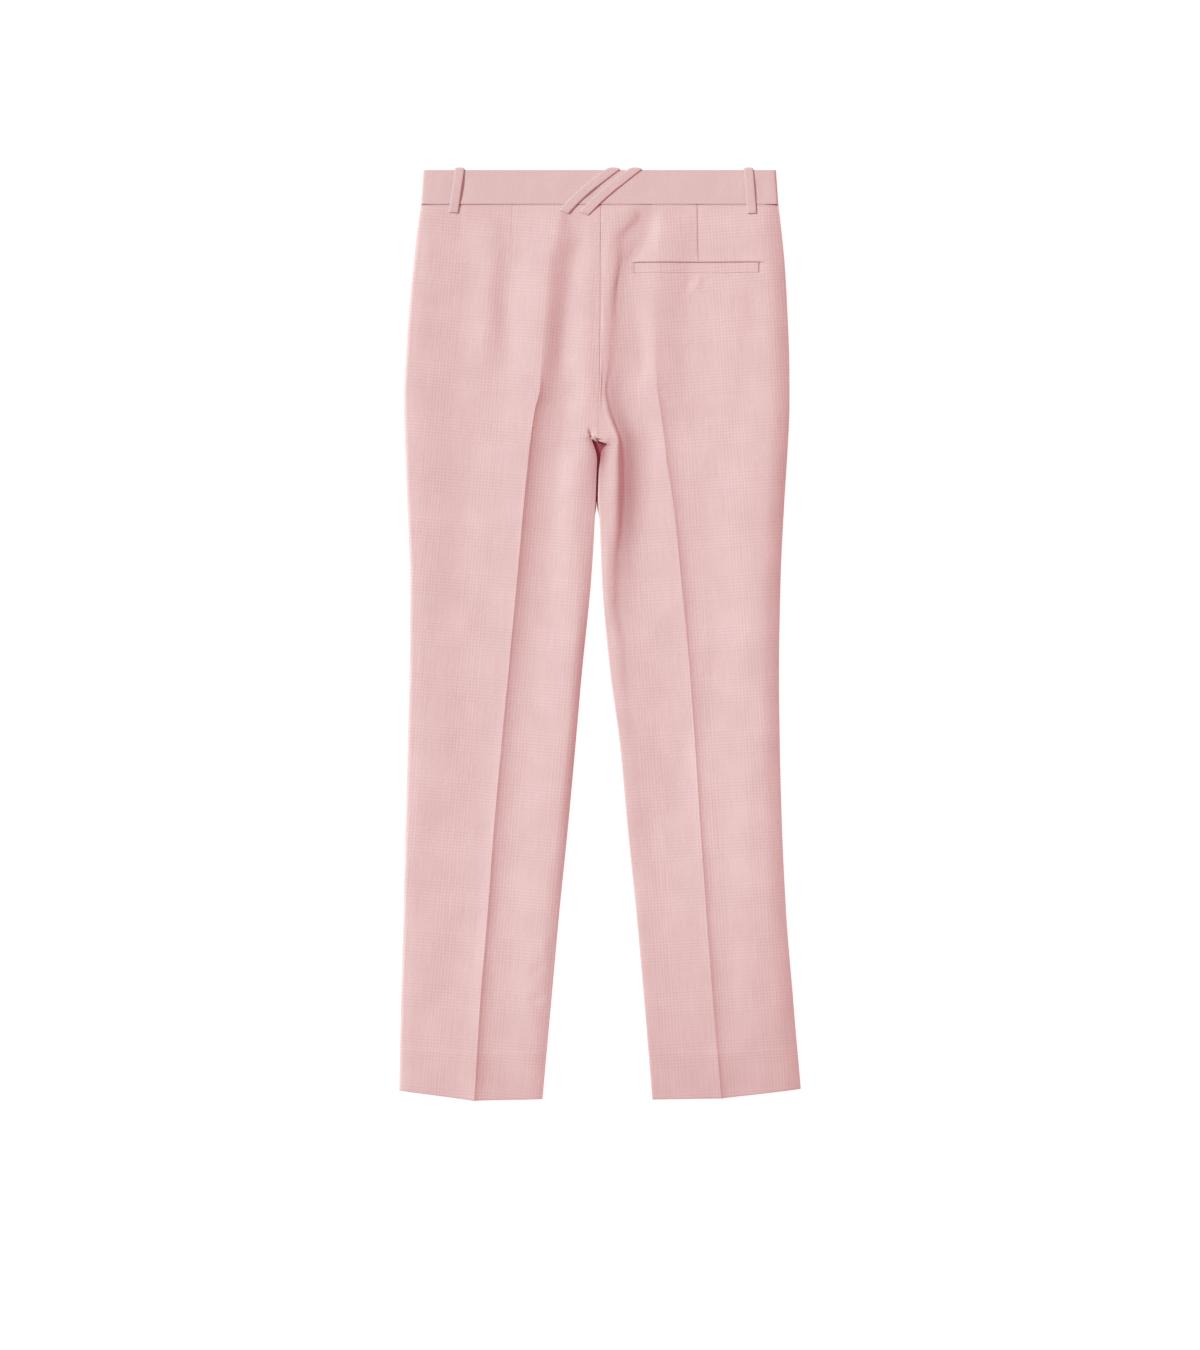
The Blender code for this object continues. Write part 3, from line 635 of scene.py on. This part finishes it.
for side in ("left", "right"):
    level = levels(BAND_DEPTH, ROWS)
    lines, heights, sharp = leg_lines(side, level)
    x = columns(lines, LEG_COLUMNS[side])
    z = back_height(side, x, level)
    inner = lines[-1] if side == "left" else lines[0]
    pull = (inner - x) / (DROP_REACH[0] + (DROP_REACH[1] - DROP_REACH[0]) * ease(DROP_LEVELS, level))
    down = level + line(INSIDE, f"{side}_drop", level) * np.exp(-(pull**2))
    # The cloth goes down upright at both of its edges, to the side seam and to the rim of the inner edge
    step = np.arange(1, LIP_STEPS + 1) / LIP_STEPS
    edges = {}
    for end, i in (("left", 0), ("right", -1)):
        to_rim = z[:, i, None] - LIP - line(INSIDE, "rim", level)
        fall = LIP + ease(SEAT_TURNS, level) * to_rim * (end != side)
        order = slice(None, None, -1 if end == "left" else 1)
        upright = (z[:, i, None] - fall * step)[:, order]
        edges[end] = [x[:, i, None] + 0 * step, upright, down[:, i, None] + 0 * step]
    x, z, down = (np.hstack(strip) for strip in zip(edges["left"], (x, z, down), edges["right"]))
    down = to_the_hem(x, down)
    # Each leg's colour carries painted shade in the crotch, the long folds, the seams and the pocket's
    # mouth
    leg = cloth_mesh(f"back_{side}_leg_cloth", x, down, z, grain(side, x, down),
                     tuck=painted_shade_at(side, x, level))
    wall(leg, CLOTH, SUITING)
    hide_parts(f"back_{side}_leg")
    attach(leg, "root")

# ---------------------------------------- the front legs
# Each front leg lies underneath, flat on the table but for a few soft hollows. Its side seam turns up to
# meet the back's, and so does its inside seam below the crotch. A straight centre-front seam joins the
# two.

CENTRE_FRONT = table("down x", (39, -3), (369, -4.25))
FRONT_PARTS = (369, 391)  # between these levels the two front legs part
FRONT_TURNS = (375, 415)  # between these levels the front's inner edge turns up
FRONT_ROWS = ((330, 4.0), (420, 3.0), (1030, 6.0), (OUTSEAM, 1.8))
FRONT_COLUMNS = 26
FRONT_MARGIN = 0.1  # the part of its width at each side where a front piece stays flat
FRONT_ROOM = 0.4  # kept clear between the hollows and the back
CURL_STEPS = 6
# The painted shade in the crotch: the levels where it deepens and where it clears, and its reach to each
# side.
# It colours both faces of the front, also the outer one, on which the garment lies.
FRONT_SHADE = ((285, 297), (366, 392))
FRONT_SHADE_REACH = 18
FRONT_FOLDS = {
    side: table(
        "x down to_x to_down bow rise left right",
        (mirror * 14, 330, mirror * 96, 262, 0, 1.5, 8, 7),  # whiskers from the crotch
        (mirror * 18, 350, mirror * 88, 318, 3, 1.2, 7, 8),
        (mirror * 22, 376, mirror * 70, 366, 2, 0.9, 6, 7),
        (mirror * 62, 90, mirror * 70, 300, 4, 1.3, 12, 12),
        (mirror * 150, 80, mirror * 160, 260, -4, 0.8, 14, 12),
        (mirror * 80, 560, mirror * 128, 640, 5, 1.2, 10, 9),  # over the knee
        (mirror * 96, 610, mirror * 150, 664, 4, 0.9, 8, 9),
        (mirror * 110, 700, mirror * 118, 990, 2, 1.4, 9, 8),
    )
    for side, mirror in (("left", -1), ("right", 1))
}


def curl(turned, steps):
    """An edge that turns up from the flat: how far in each of its columns is, and how high."""
    arc = (SEAM_HEIGHT - SEAM_GAP / 2 - LIP) * np.pi / 2
    angle = np.maximum(turned, 1e-4) * np.pi / 2
    part = np.linspace(0, 1, steps)
    along = arc * np.sin(angle * part) / angle
    up = arc * (1 - np.cos(angle * part)) / angle
    along = np.hstack((along, along[:, -1:] + LIP * np.cos(angle)))
    up = np.hstack((up, up[:, -1:] + LIP * np.sin(angle)))
    return along[:, -1:] - along, up


def front_cloth(name, side, level, outer, inner, turned, weave, back, tuck=0.0):
    """A piece of the front: laid flat, turned up at its side seam, and as far as asked at its inner edge.

    Its hollows stay clear of the inner face of the back piece over them.
    """
    inward = 1 if side == "left" else -1
    outer_in, outer_up = curl(np.ones_like(level), CURL_STEPS)
    inner_in, inner_up = curl(turned, CURL_STEPS)
    x_outer, x_inner = outer + inward * outer_in[:, ::-1], inner - inward * inner_in
    s = np.arange(1, FRONT_COLUMNS) / FRONT_COLUMNS
    middle = x_outer[:, -1:] + s * (x_inner[:, :1] - x_outer[:, -1:])
    window = np.clip(np.minimum(s, 1 - s) / FRONT_MARGIN, 0, 1)
    hollow = np.clip(short_folds(middle, level, FRONT_FOLDS[side]), 0, None)
    room = np.maximum(back(middle) - 2 * CLOTH - FRONT_ROOM, 0)
    x = np.hstack((x_outer, middle, x_inner))
    z = np.hstack((outer_up[:, ::-1], window * np.minimum(hollow, room), inner_up))
    if side == "right":
        x, z = x[:, ::-1], z[:, ::-1]
    down = to_the_hem(x, level + 0 * x)
    # Painted shade in the crotch, on both faces of the front
    deep = tuck * ridge(x, FRONT_SHADE_REACH, FRONT_SHADE_REACH, 4)
    return cloth_mesh(name, x, down, z, weave(x, down), facing_up=False, tuck=deep)


for side in ("left", "right"):
    level = levels(BAND_DEPTH, FRONT_ROWS)
    centre, seam = line(CENTRE_FRONT, "x", level), line(INSIDE, side, level)
    inner = centre + ease(FRONT_PARTS, level) * (seam - centre)
    outer = line(OUTLINE, f"{side}_side", level)
    deepens, clears = FRONT_SHADE
    leg = front_cloth(f"front_{side}_leg_cloth", side, level, outer, inner, ease(FRONT_TURNS, level),
                      lambda x, down: grain(side, x, down), lambda x: back_height(side, x, level),
                      tuck=ease(deepens, level) * (1 - ease(clears, level)))
    wall(leg, CLOTH, SUITING)
    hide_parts(f"front_{side}_leg")
    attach(leg, "root")

# ---------------------------------------- the waistband
# A straight band of the same suiting over interlining, so its check hardly shows. The back of it is one
# length, and the front is two halves that meet at the centre front.

BAND_LEAN = 2.6  # the band narrows this much at each side, towards its top
BAND_CLOTH = 1.4
BAND_LOFT = 5.6  # height of its outer face
BAND_EDGE = 1.3  # how far in the rolled top edge reaches
BAND_EDGE_DROP = 0.9  # how far it goes down
BAND_SEAM_DROP = 0.14  # how far the cloth goes down at the waist seam
BAND_BEND = 2.2  # how far in each end turns down
BAND_SWELL = 12.0  # how far in from its ends the band is thinner
BAND_THINNER = 0.5  # and by how much
BAND_COLUMNS = 180
BAND_ROWS = ((2, 0.4), (36, 1.7), (BAND_DEPTH, 0.45))
BAND_DENTS = table(
    "x down to_x to_down bow rise left right",
    (-152, 4, -156, 37, 0, -0.5, 5, 7),  # beside the left loop
    (-174, 0, -178, 39, 0, 0.3, 7, 8),
    (-120, 6, -118, 34, 2, -0.25, 9, 9),
    (-74, 12, -70, 38, -2, 0.3, 10, 9),
    (-30, 2, -52, 30, -3, 0.3, 9, 9),
    (4, 20, -14, 39, 0, -0.5, 8, 6),  # under the middle loops
    (58, 4, 44, 36, 3, -0.3, 10, 9),
    (88, 6, 90, 38, 0, 0.25, 9, 12),
    (128, 2, 131, 30, 2, -0.3, 10, 8),
    (159, 4, 160, 36, 0, 0.3, 6, 5),
    (180, 6, 182, 36, 0, -0.4, 5, 6),
)

BAND_SUITING = glen_suiting("viscose suiting over interlining", "#e6c1bf", "#dfb9b7", 0.6)


def band_side(side, level):
    """The waistband's end at the side seam."""
    lean = BAND_LEAN * (1 - level / BAND_DEPTH)
    return OUTLINE[f"{side}_side"][0] + (lean if side == "left" else -lean)


def band_height(x, level):
    """Height of the waistband's outer face, rolled over at its top and turned down at ends and seam."""
    height = BAND_LOFT + short_folds(x, level, BAND_DENTS)
    height += 0.1 * np.sin(x / 17.0) * np.sin(x / 41.0 + level / 19.0)
    inset = np.minimum(x - band_side("left", level), band_side("right", level) - x)
    height -= BAND_EDGE_DROP * (1 - rounded(level, BAND_EDGE))
    height -= BAND_SEAM_DROP * (1 - rounded(BAND_DEPTH - level, WAIST_ROUND))
    swollen = np.sin(np.pi / 2 * np.clip(inset / BAND_SWELL, 0, 1))
    return roll(height - BAND_THINNER * (1 - swollen), inset, BAND_BEND, SEAM_HEIGHT + SEAM_GAP / 2 + LIP)


level = levels(0, BAND_ROWS)
left, right = band_side("left", level), band_side("right", level)
bend = BAND_BEND * np.linspace(0, 1, 7) ** 1.5
middle = np.arange(1, BAND_COLUMNS) / BAND_COLUMNS * (right - left - 2 * BAND_BEND)
x = np.hstack((left + bend, left + BAND_BEND + middle, right - bend[::-1]))
z = band_height(x, level)
x, z = np.hstack((x[:, :1], x, x[:, -1:])), np.hstack((z[:, :1] - LIP, z, z[:, -1:] - LIP))
band = cloth_mesh("back_waistband_cloth", x, level, z, (x, level))
wall(band, BAND_CLOTH, BAND_SUITING)
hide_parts("back_waistband")
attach(band, "root")

for side in ("left", "right"):
    level = levels(0, BAND_ROWS)
    inner = line(CENTRE_FRONT, "x", level)
    outer = band_side(side, level)
    half = front_cloth(f"front_{side}_waistband_cloth", side, level, outer, inner, 0 * level,
                       lambda x, down: (x, down), lambda x: 0 * x)
    wall(half, BAND_CLOTH, BAND_SUITING)
    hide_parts(f"front_{side}_waistband")
    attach(half, "root")

# ---------------------------------------- the pocket welt
# The back right pocket has one narrow welt, folded from suiting and set almost flush into the panel. Its
# top edge is the pocket's mouth, and its lower edge is sewn down.

WELT_CLOTH = 1.0
WELT_RISE = 0.55  # of its face, over the panel
WELT_EDGE = 0.8  # how far in its edges are rounded
WELT_RIM = 0.35  # they keep this part of its rise

down = levels(WELT_DOWN[0], ((WELT_DOWN[0] + 1.6, 0.2), (WELT_DOWN[1] - 1.6, 1.2), (WELT_DOWN[1], 0.2)))
x = np.concatenate((np.linspace(0, 1.5, 7), np.arange(3, 137, 2.0), np.linspace(138.5, 140, 7)))
x = WELT_X[0] + x[None, :]
inset = np.minimum(down - WELT_DOWN[0], WELT_DOWN[1] - down)
inset = np.minimum(inset, np.minimum(x - WELT_X[0], WELT_X[1] - x))
rise = WELT_RISE * (WELT_RIM + (1 - WELT_RIM) * rounded(inset, WELT_EDGE))
z = back_height("right", x, down) + rise
# Painted shade at its two ends and at the mouth above it
ends = 0.8 * (ridge(x - WELT_X[0], 0.5, 0.8, 2) + ridge(x - WELT_X[1], 0.8, 0.5, 2))
shade = np.maximum(ends, 0.85 * ridge(down - WELT_DOWN[0], 0.4, 0.5, 2))
welt = cloth_mesh("back_pocket_welt_cloth", x, down, z, grain("right", x, down), tuck=shade)
wall(welt, WELT_CLOTH, SUITING)
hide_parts("back_pocket_welt")
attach(welt, "root")

# ---------------------------------------- the belt loops
# Four narrow folded strips, turned over the top of the waistband and sewn down just below its seam. The
# two in the middle slant side by side, and the outer two are almost upright.

LOOP_WIDTH = 10.4
LOOP_CLOTH = 1.0
LOOP_GAP = 0.3
LOOP_OVERHANG = 2.5  # how far the loops reach past the top of the waistband
LOOP_ROWS = 72
LOOP_COLUMNS = 13
LOOPS = (
    # name, top x, bottom x, bottom down, bow to the left, arch over the band
    ("left_belt_loop", -157.4, -164.5, 48.2, 0.0, 0.6),
    ("centre_left_belt_loop", 13.9, -40.8, 47.6, 4.2, 0.25),
    ("centre_right_belt_loop", 38.6, -18.6, 49.3, 3.4, 0.2),
    ("right_belt_loop", 165.5, 169.3, 49.3, 0.0, 0.5),
)

LOOP_SUITING = glen_suiting("viscose suiting, cut on the bias", "#e8c3c1", "#dcb5b4", 0.7)
loop_feet = {}  # the line across each loop where it is tacked to the leg

for name, top_x, bottom_x, bottom_down, bow, arch in LOOPS:
    side = "left" if bottom_x < 0 else "right"
    ground = back_height(side, np.array([[bottom_x]]), np.array([[bottom_down]]))[0, 0]
    foot = ground + LOOP_GAP + LOOP_CLOTH
    crown = BAND_LOFT + LOOP_GAP + LOOP_CLOTH
    path = np.array((
        (-1.4, BAND_LOFT - 1.5),
        (-LOOP_OVERHANG + 0.4, BAND_LOFT - 0.8),
        (-LOOP_OVERHANG, BAND_LOFT + 0.3),
        (-LOOP_OVERHANG + 0.7, crown - 0.5),
        (-LOOP_OVERHANG + 2.6, crown),
        (5, crown + 0.3 * arch),
        (BAND_DEPTH / 2, crown + arch),
        (BAND_DEPTH - 6, crown + 0.6 * arch),
        (BAND_DEPTH, crown + 0.1),
        (BAND_DEPTH + 3.5, (crown + foot) / 2),
        (bottom_down - 2.5, foot + 0.1),
        (bottom_down, foot - 0.2),
    ))
    along = np.concatenate(((0,), np.cumsum(np.hypot(*np.diff(path, axis=0).T))))
    rows = {"along": along, "down": path[:, 0], "height": path[:, 1]}
    step = np.linspace(0, along[-1], LOOP_ROWS)
    down, height = line(rows, "down", step)[:, None], line(rows, "height", step)[:, None]
    part = np.clip(down / bottom_down, 0, 1)
    centre = top_x + part * (bottom_x - top_x) - bow * 4 * part * (1 - part)
    lean = (bottom_x - top_x - bow * 4 * (1 - 2 * part)) / bottom_down
    slant = np.hypot(1, lean)
    u = np.sin(np.linspace(-1, 1, LOOP_COLUMNS) * np.pi / 2) / 2
    # The top is cut along the waistband, the middle is square to the loop, and the end is in between
    square = ease((0, 12), down) * (1 - 0.4 * ease((bottom_down - 9, bottom_down), down))
    x = centre + u * LOOP_WIDTH * (slant**0.7 * (1 - square) + square / slant)
    turned_down = down - u * LOOP_WIDTH * lean / slant * square
    # Over the top of the band its two corners turn down first, most of all where it slants
    corners = 1 - (0.35 + 0.4 * np.clip(slant - 1, 0, 1)) * np.abs(2 * u) ** 3
    turned_down = np.where(turned_down < 0, turned_down * corners, turned_down)
    z = height - 0.5 * (1 - np.sqrt(1 - np.abs(2 * u) ** 5 * 0.999))
    bias = (u * LOOP_WIDTH + step[:, None], u * LOOP_WIDTH - step[:, None])
    # Painted shadow in a thin line along the right edge of each loop
    loop = cloth_mesh(f"{name}_cloth", x, turned_down, z, bias, tuck=0.5 * ease((0.46, 0.5), u) + 0 * z)
    loop_feet[name] = np.stack((x[-5], turned_down[-5], z[-5]), axis=1)[2:-2]
    wall(loop, LOOP_CLOTH, LOOP_SUITING, even=False)
    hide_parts(name)
    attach(loop, "root")

# ---------------------------------------- the sewing
# Matched polyester thread, which hardly shows on the cloth. The hems are blind stitched, the ends of the
# welt and the feet of the loops are tacked, and on the front, underneath, a curved row of stitches holds
# the fly.

STITCH_WIDTH = 0.34
HEM_STITCH = (1.2, 5.6)  # length of a stitch, and the gap to the next
TACK_STITCH = (1.3, 0.45)
FLY_STITCH = (2.3, 0.7)
FLY_WIDTH = 34.0
FLY_DEPTH = 176.0
FLY_CURVE = 46.0  # length of its curved foot
THREAD_SIDES = 6

# Two plies, a little brighter than the matt cloth
thread = bpy.data.materials.new("matched polyester thread")
thread.use_nodes = True
tree = thread.node_tree
place = add(tree, "TexCoord", {}).outputs["Object"]
ply = add(tree, "TexNoise", {"Vector": place, "Scale": 3200.0, "Detail": 1.0}).outputs[0]
dye = blend(tree, ply, linear("#e3b4b3"), linear("#f6d8d6"))
shader = tree.nodes["Principled BSDF"]
tree.links.new(dye, shader.inputs["Base Color"])
strand = add(tree, "Bump", {"Height": ply, "Strength": 0.4, "Distance": 0.05 * MM}).outputs[0]
tree.links.new(strand, shader.inputs["Normal"])
shader.inputs["Roughness"].default_value = 0.55
shader.inputs["Sheen Weight"].default_value = 0.1


def sewn(name, path, stitch, facing=1):
    """A row of stitches along a path: each is a short round thread whose two ends dip into the cloth.

    path has a row of x, level and height for each of its points. A stitch is a point at each end, with
    three rings between them, and its middle stands out by half its width.
    """
    points = np.stack((path[:, 0], TOP - path[:, 1], path[:, 2]), axis=1)
    along = np.concatenate(((0,), np.cumsum(np.linalg.norm(np.diff(points, axis=0), axis=1))))
    length, gap = stitch
    start = np.arange(gap / 2, along[-1] - length, length + gap)
    reached = start[:, None] + length * np.array((0, 0.22, 0.5, 0.78, 1))
    at = np.stack([np.interp(reached, along, points[:, i]) for i in range(3)], axis=-1)
    at[..., 2] += facing * STITCH_WIDTH * np.array((-0.4, 0.1, 0.22, 0.1, -0.4))
    ahead = at[:, -1] - at[:, 0]
    ahead /= np.linalg.norm(ahead, axis=1, keepdims=True)
    beside = np.cross(ahead, (0, 0, 1))
    beside /= np.linalg.norm(beside, axis=1, keepdims=True)
    over = np.cross(beside, ahead)
    turn = np.arange(THREAD_SIDES) / THREAD_SIDES * 2 * np.pi
    ring = beside[:, None] * np.cos(turn)[:, None] + over[:, None] * np.sin(turn)[:, None]
    rings = at[:, 1:4, None] + STITCH_WIDTH / 2 * ring[:, None]
    corners = np.concatenate((at[:, :1], rings.reshape(len(at), -1, 3), at[:, 4:]), axis=1)
    first = 1 + np.arange(THREAD_SIDES)
    last = 1 + (np.arange(THREAD_SIDES) + 1) % THREAD_SIDES
    third, count = 2 * THREAD_SIDES, corners.shape[1]
    start_cap = np.stack((0 * first, last, first), axis=1)
    end_cap = np.stack((third + first, third + last, count - 1 + 0 * first), axis=1)
    caps = np.concatenate((start_cap, end_cap))
    side = np.stack((first, last, THREAD_SIDES + last, THREAD_SIDES + first), axis=1)
    sides = np.concatenate((side, THREAD_SIDES + side))
    shift = count * np.arange(len(at))[:, None, None]
    faces = (caps + shift).reshape(-1, 3).tolist() + (sides + shift).reshape(-1, 4).tolist()
    mesh = bpy.data.meshes.new(name)
    mesh.from_pydata((corners.reshape(-1, 3) * MM).tolist(), [], faces)
    mesh.shade_smooth()
    mesh.materials.append(thread)
    piece = placed(name, mesh)
    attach(piece, "root")


for side in ("left", "right"):
    row = np.array([[OUTSEAM - HEM_TURN]])
    ends = sorted((line(OUTLINE, f"{side}_side", row)[0, 0], line(INSIDE, side, row)[0, 0]))
    x = np.linspace(ends[0] + 5, ends[1] - 5, 120)
    z = back_height(side, x[None, :], row)[0]
    sewn(f"{side}_hem_stitches", np.stack((x, to_the_hem(x, row[0, 0]), z), axis=1), HEM_STITCH)

for end, x in (("inner", WELT_X[0] + 0.2), ("outer", WELT_X[1] - 0.2)):
    down = np.linspace(WELT_DOWN[0] - 0.6, WELT_DOWN[1] + 0.6, 30)
    z = back_height("right", np.array([[x]]), down[:, None])[:, 0] + WELT_RISE
    sewn(f"welt_{end}_end_stitches", np.stack((x + 0 * down, down, z), axis=1), TACK_STITCH)

for name, foot in loop_feet.items():
    sewn(f"{name}_foot_stitches", foot, TACK_STITCH)

row = np.linspace(BAND_DEPTH + 1.5, FLY_DEPTH, 160)
x = line(CENTRE_FRONT, "x", row) + FLY_WIDTH * rounded(FLY_DEPTH - row, FLY_CURVE)
sewn("fly_stitches", np.stack((x, row, 0 * row), axis=1), FLY_STITCH, facing=-1)

# ---------------------------------------- camera and light
# The garment lies on a plain white table and is photographed straight from above. The key is a cyan sun
# from the left, the fill is pink, and a black flag softens the key over the hems, most on the right. The
# two colours are fitted to the photo, whose shadows turn a deeper pink than its lights.

FLOOR = -0.0004  # in metres, as are the flag's height and its corners
FLAG_HEIGHT = 2.29
PIXEL = 1.12  # millimetres in one pixel of the picture
PICTURE = (1200, 1350)
MIDDLE_COLUMN = 600.5  # the picture's column of the garment's middle
TOP_ROW = 170.5  # and its row of the top of the waistband
DISTANCE = 3000.0


def stage_sheet(name, corners, height, surface):
    """One flat sheet of the stage, and its shader."""
    mesh = bpy.data.meshes.new(name)
    mesh.from_pydata([(x, y, height) for x, y in corners], [], [(0, 1, 2, 3)])
    material = bpy.data.materials.new(surface)
    material.use_nodes = True
    mesh.materials.append(material)
    return placed(name, mesh), material.node_tree.nodes["Principled BSDF"]


floor, paper = stage_sheet("floor", ((-6, -6), (6, -6), (6, 6), (-6, 6)), FLOOR, "white paper roll")
paper.inputs["Base Color"].default_value = linear("#898989")
paper.inputs["Roughness"].default_value = 0.9
paper.inputs["Emission Color"].default_value = (1, 1, 1, 1)
paper.inputs["Emission Strength"].default_value = 0.88

camera = placed("camera", bpy.data.cameras.new("camera"))
camera.data.sensor_width = 36
camera.data.lens = 36 * DISTANCE / (PICTURE[1] * PIXEL)
camera.location = (
    (PICTURE[0] / 2 - MIDDLE_COLUMN) * PIXEL * MM,
    (TOP - (PICTURE[1] / 2 - TOP_ROW) * PIXEL) * MM,
    DISTANCE * MM,
)
bpy.context.scene.camera = camera

KEY_ELEVATION = np.radians(35)
KEY_AZIMUTH = np.radians(155)  # from the left and a little from the top
key = placed("key", bpy.data.lights.new("key", "SUN"))
key.data.energy = 3.4
key.data.angle = np.radians(10)
key.data.color = (0.58, 1.0, 0.99)
key.rotation_euler = (0, np.pi / 2 - KEY_ELEVATION, KEY_AZIMUTH)

flag_corners = ((-4.1, 0.13), (-1.8, 1.05), (-1.8, 0.1), (-4.1, -0.6))
flag, black_cloth = stage_sheet("flag", flag_corners, FLAG_HEIGHT, "black flag cloth")
flag.visible_camera = False
black_cloth.inputs["Base Color"].default_value = linear("#181818")

world = bpy.data.worlds.new("studio")
bpy.context.scene.world = world
world.use_nodes = True
fill = world.node_tree.nodes["Background"]
fill.inputs["Color"].default_value = (1.0, 0.61, 0.62, 1)
fill.inputs["Strength"].default_value = 0.64
bpy.context.scene.view_settings.view_transform = "Standard"
